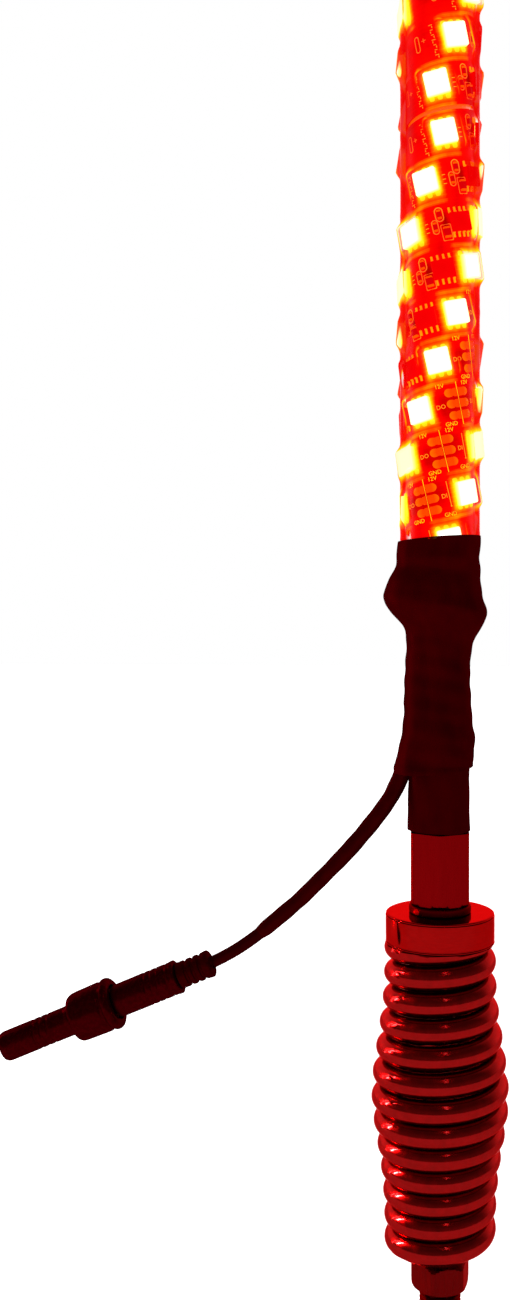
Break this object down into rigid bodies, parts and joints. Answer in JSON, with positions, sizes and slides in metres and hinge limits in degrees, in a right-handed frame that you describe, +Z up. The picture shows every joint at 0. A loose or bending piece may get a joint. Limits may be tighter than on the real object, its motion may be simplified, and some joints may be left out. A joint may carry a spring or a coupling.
{
  "type": "led whip light",
  "caption": "Spring-base LED whip light: lit strip wound in a clear tube on a hex ferrule, barrel spring and threaded foot, with a short cable and screw connector.",
  "frame": {"origin": "middle of the hex foot's underside, the face that seats on the vehicle's bracket", "axes": "+Z up along the whip, +X away from the side that the cable leaves on, -Y towards the front"},
  "size_m": [0.1184, 0.0313, 0.503],
  "materials": {
    "polished_steel": "polished, seen in the lamp's red light",
    "dark_steel": "dark, seen in the lamp's red light",
    "heat_shrink": "satin, wrinkled",
    "moulded_nylon": "moulded",
    "black_rubber": "satin",
    "core_tube": "smooth",
    "led_board": "lit flexible board",
    "clear_film": "clear",
    "wire_red": "smooth",
    "wire_green": "smooth",
    "wire_black": "smooth",
    "contact_metal": "plated"
  },
  "bodies": {
    "foot": {"foot_hex": "polished_steel", "foot_stud": "dark_steel", "lock_washer": "dark_steel", "spring_lower_coils": "polished_steel"},
    "foot_nut": {"foot_nut": "polished_steel"},
    "spring_middle": {"spring_middle_coils": "polished_steel"},
    "whip": {"spring_upper_coils": "polished_steel", "spring_collar": "polished_steel", "collar_washer": "dark_steel", "link_stud": "dark_steel", "whip_ferrule": "polished_steel", "core_tube": "core_tube", "led_strip": "led_board", "clear_sleeve": "clear_film", "core_plug": "moulded_nylon", "top_cap": "black_rubber", "upper_shrink_sleeve": "heat_shrink", "lower_shrink_sleeve": "heat_shrink", "lead_positive": "wire_red", "lead_data": "wire_green", "lead_ground": "wire_black", "power_cable": "black_rubber", "cable_cover": "heat_shrink", "cable_boot": "black_rubber", "plug_body": "moulded_nylon", "contact_pin_1": "contact_metal", "contact_pin_2": "contact_metal", "contact_pin_3": "contact_metal", "seal_ring": "black_rubber"},
    "coupling_nut": {"coupling_nut": "moulded_nylon"},
    "socket": {"socket_body": "moulded_nylon", "socket_seal": "black_rubber"}
  },
  "joints": [
    {"name": "spring_flex_fore_aft", "type": "hinge", "parent": "foot", "child": "spring_middle", "pos_m": [0, 0, 0.027], "axis": [1, 0, 0], "range_deg": [-45, 45], "stiffness_Nm_per_rad": 7, "deforming": ["spring_lower_coils"]},
    {"name": "spring_flex_sideways", "type": "hinge", "parent": "spring_middle", "child": "whip", "pos_m": [0, 0, 0.06], "axis": [0, 1, 0], "range_deg": [-45, 45], "stiffness_Nm_per_rad": 7, "deforming": ["spring_upper_coils"]},
    {"name": "foot_nut_spin", "type": "hinge", "parent": "foot", "child": "foot_nut", "pos_m": [0, 0, -0.0155], "axis": [0, 0, 1], "continuous": true},
    {"name": "coupling_nut_spin", "type": "hinge", "parent": "whip", "child": "coupling_nut", "pos_m": [-0.07965, -0.002, 0.06139], "axis": [-0.9206, 0, -0.3904], "continuous": true},
    {"name": "socket_pull_off", "type": "slide", "parent": "whip", "child": "socket", "axis": [-0.9206, 0, -0.3904], "range_m": [0, 0.012]}
  ]
}
